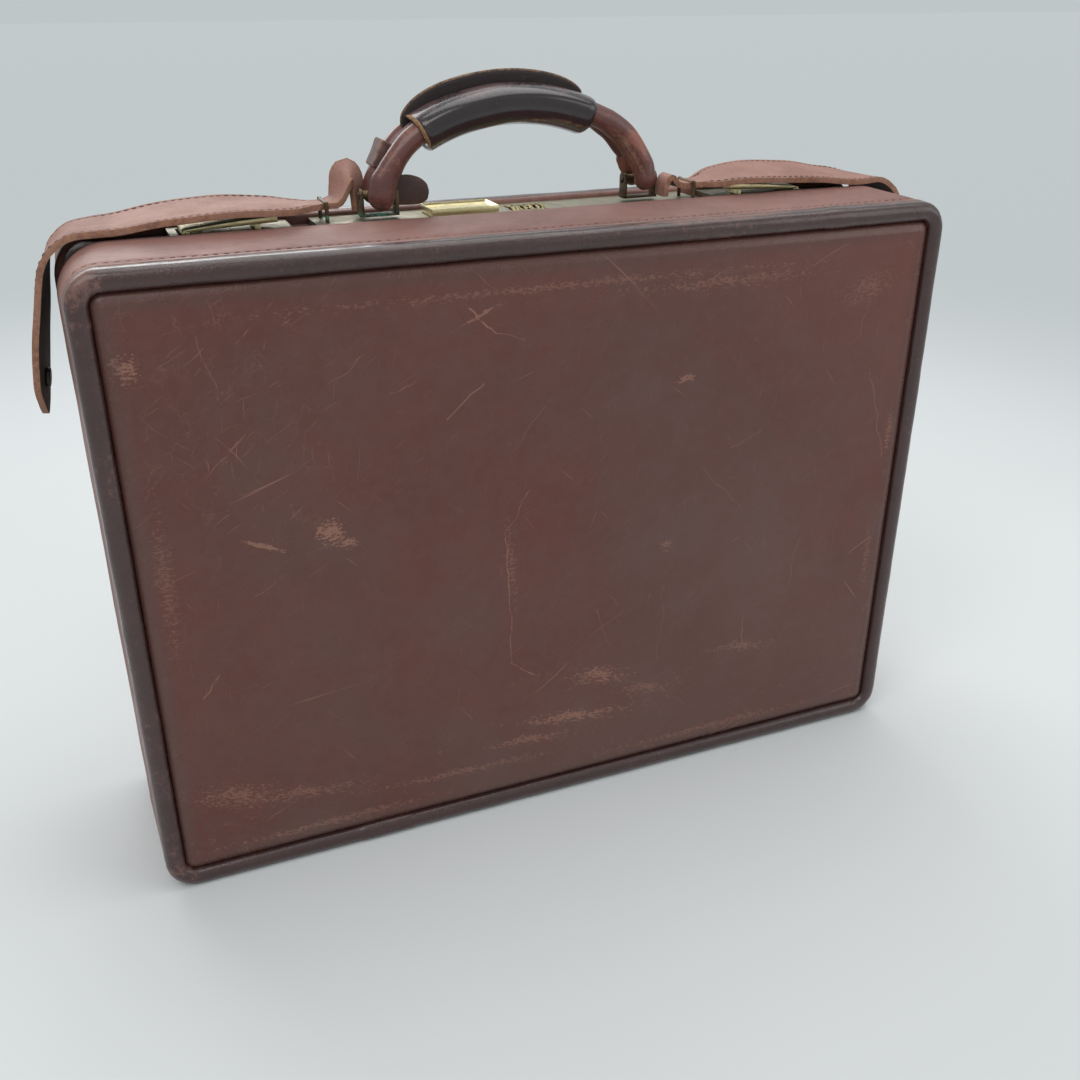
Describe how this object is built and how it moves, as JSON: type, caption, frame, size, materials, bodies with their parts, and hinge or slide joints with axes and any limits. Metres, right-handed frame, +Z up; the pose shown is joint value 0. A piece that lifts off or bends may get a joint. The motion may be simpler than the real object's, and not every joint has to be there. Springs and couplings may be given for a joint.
{
  "type": "briefcase",
  "caption": "Hard leather briefcase with a hinged lid, folding stays, combination lock, latches, twin cord handle and strap ends.",
  "frame": {"origin": "centre of the case's footprint, on the floor it stands on", "axes": "+X along the case's length, +Y from the lid's face towards the base's face, +Z up towards the handle"},
  "size_m": [0.494, 0.114, 0.3999],
  "materials": {
    "hide_dark": "worn, dull burgundy brown",
    "hide_edge": "rubbed to a soft gloss",
    "hide_bead": "satin",
    "hide_band": "worn, dull",
    "board": "raw pressed board",
    "cloth_lining": "matt woven cloth",
    "brass_worn": "smudged, satin",
    "steel_plated": "plated, satin",
    "spring_wire": "oiled wire",
    "handle_hide": "polished by the hand",
    "strap_hide": "dry, with raw edges",
    "snap_metal": "dark enamel"
  },
  "bodies": {
    "base": {"base_panel": "hide_dark", "base_panel_board": "board", "base_roll": "hide_edge", "base_bead": "hide_bead", "base_band": "hide_band", "base_board_top": "board", "base_board_bottom": "board", "base_board_left": "board", "base_board_right": "board", "base_lining": "cloth_lining", "valance": "hide_band", "base_hinge_leaves": "steel_plated", "hinge_pins": "steel_plated", "base_stay_pivots": "steel_plated", "lock_plate": "brass_worn", "lock_housing": "steel_plated", "dial_axle": "steel_plated", "lock_spring": "spring_wire", "latch_plates": "brass_worn", "latch_pins": "steel_plated", "latch_springs": "spring_wire", "handle_posts": "brass_worn", "strap_staples": "brass_worn", "side_studs": "brass_worn", "strap_necks": "strap_hide"},
    "lid": {"lid_panel": "hide_dark", "lid_panel_board": "board", "lid_roll": "hide_edge", "lid_bead": "hide_bead", "lid_band": "hide_band", "lid_board_top": "board", "lid_board_bottom": "board", "lid_board_left": "board", "lid_board_right": "board", "lid_lining": "cloth_lining", "document_pocket": "cloth_lining", "lid_strikes": "brass_worn", "lid_hinge_leaves": "steel_plated", "lid_stay_pivots": "steel_plated"},
    "stay_base_arms": {"stay_arms_base": "steel_plated"},
    "stay_lid_arms": {"stay_arms_lid": "steel_plated"},
    "handle": {"handle_trunnions": "brass_worn", "front_cord": "handle_hide", "rear_cord": "handle_hide", "grip_sleeve": "handle_hide", "grip_flap": "handle_hide", "cord_keeper": "handle_hide"},
    "lock_slide": {"lock_button": "brass_worn", "lock_bolt": "steel_plated"},
    "dial_1_body": {"dial_1": "brass_worn"},
    "dial_2_body": {"dial_2": "brass_worn"},
    "dial_3_body": {"dial_3": "brass_worn"},
    "left_latch": {"left_latch_lever": "brass_worn"},
    "right_latch": {"right_latch_lever": "brass_worn"},
    "left_strap_flap": {"left_strap": "strap_hide"},
    "left_end_flap": {"left_strap_end": "strap_hide", "strap_snap_left": "snap_metal"},
    "right_strap_flap": {"right_strap": "strap_hide"},
    "right_end_flap": {"right_strap_end": "strap_hide", "strap_snap_right": "snap_metal"}
  },
  "joints": [
    {"name": "lid_hinge", "type": "hinge", "parent": "base", "child": "lid", "pos_m": [0, -0.002, 0.0029], "axis": [1, 0, 0], "range_deg": [0, 95]},
    {"name": "stay_base", "type": "hinge", "parent": "base", "child": "stay_base_arms", "pos_m": [0, 0.012, 0.11402], "axis": [1, 0, 0], "range_deg": [0, 95]},
    {"name": "stay_lid", "type": "hinge", "parent": "lid", "child": "stay_lid_arms", "pos_m": [0, -0.016, 0.11402], "axis": [1, 0, 0], "range_deg": [-95, 0]},
    {"name": "handle_swing", "type": "hinge", "parent": "base", "child": "handle", "pos_m": [0, 0.014, 0.3435], "axis": [1, 0, 0], "range_deg": [-28, 28], "stiffness_Nm_per_rad": 0.25},
    {"name": "lock_slide", "type": "slide", "parent": "base", "child": "lock_slide", "axis": [-1, 0, 0], "range_m": [0, 0.008], "stiffness_N_per_m": 100},
    {"name": "dial_1_turn", "type": "hinge", "parent": "base", "child": "dial_1_body", "pos_m": [0, 0.014, 0.3231], "axis": [1, 0, 0], "continuous": true},
    {"name": "dial_2_turn", "type": "hinge", "parent": "base", "child": "dial_2_body", "pos_m": [0.007, 0.014, 0.3231], "axis": [1, 0, 0], "continuous": true},
    {"name": "dial_3_turn", "type": "hinge", "parent": "base", "child": "dial_3_body", "pos_m": [0.014, 0.014, 0.3231], "axis": [1, 0, 0], "continuous": true},
    {"name": "left_latch_turn", "type": "hinge", "parent": "base", "child": "left_latch", "pos_m": [-0.169, 0.014, 0.331], "axis": [0, -1, 0], "range_deg": [-2.5, 2], "stiffness_Nm_per_rad": 0.3},
    {"name": "right_latch_turn", "type": "hinge", "parent": "base", "child": "right_latch", "pos_m": [0.169, 0.014, 0.331], "axis": [0, 1, 0], "range_deg": [-2.5, 2], "stiffness_Nm_per_rad": 0.3},
    {"name": "left_strap_lift", "type": "hinge", "parent": "base", "child": "left_strap_flap", "pos_m": [-0.1062, 0.014, 0.3378], "axis": [0, 1, 0], "range_deg": [0, 60], "stiffness_Nm_per_rad": 0.05},
    {"name": "right_strap_lift", "type": "hinge", "parent": "base", "child": "right_strap_flap", "pos_m": [0.1062, 0.014, 0.3378], "axis": [0, -1, 0], "range_deg": [0, 60], "stiffness_Nm_per_rad": 0.05},
    {"name": "left_end_bend", "type": "hinge", "parent": "left_strap_flap", "child": "left_end_flap", "pos_m": [-0.2342, 0.014, 0.3145], "axis": [0.119, 0.9925, -0.0264], "range_deg": [-7, 45], "stiffness_Nm_per_rad": 0.05},
    {"name": "right_end_bend", "type": "hinge", "parent": "right_strap_flap", "child": "right_end_flap", "pos_m": [0.2342, 0.014, 0.3145], "axis": [0.119, -0.9925, 0.0264], "range_deg": [-7, 45], "stiffness_Nm_per_rad": 0.05}
  ],
  "couplings": [
    {"joint": "stay_base", "follows": "lid_hinge", "ratio": 1},
    {"joint": "stay_lid", "follows": "lid_hinge", "ratio": -1}
  ]
}
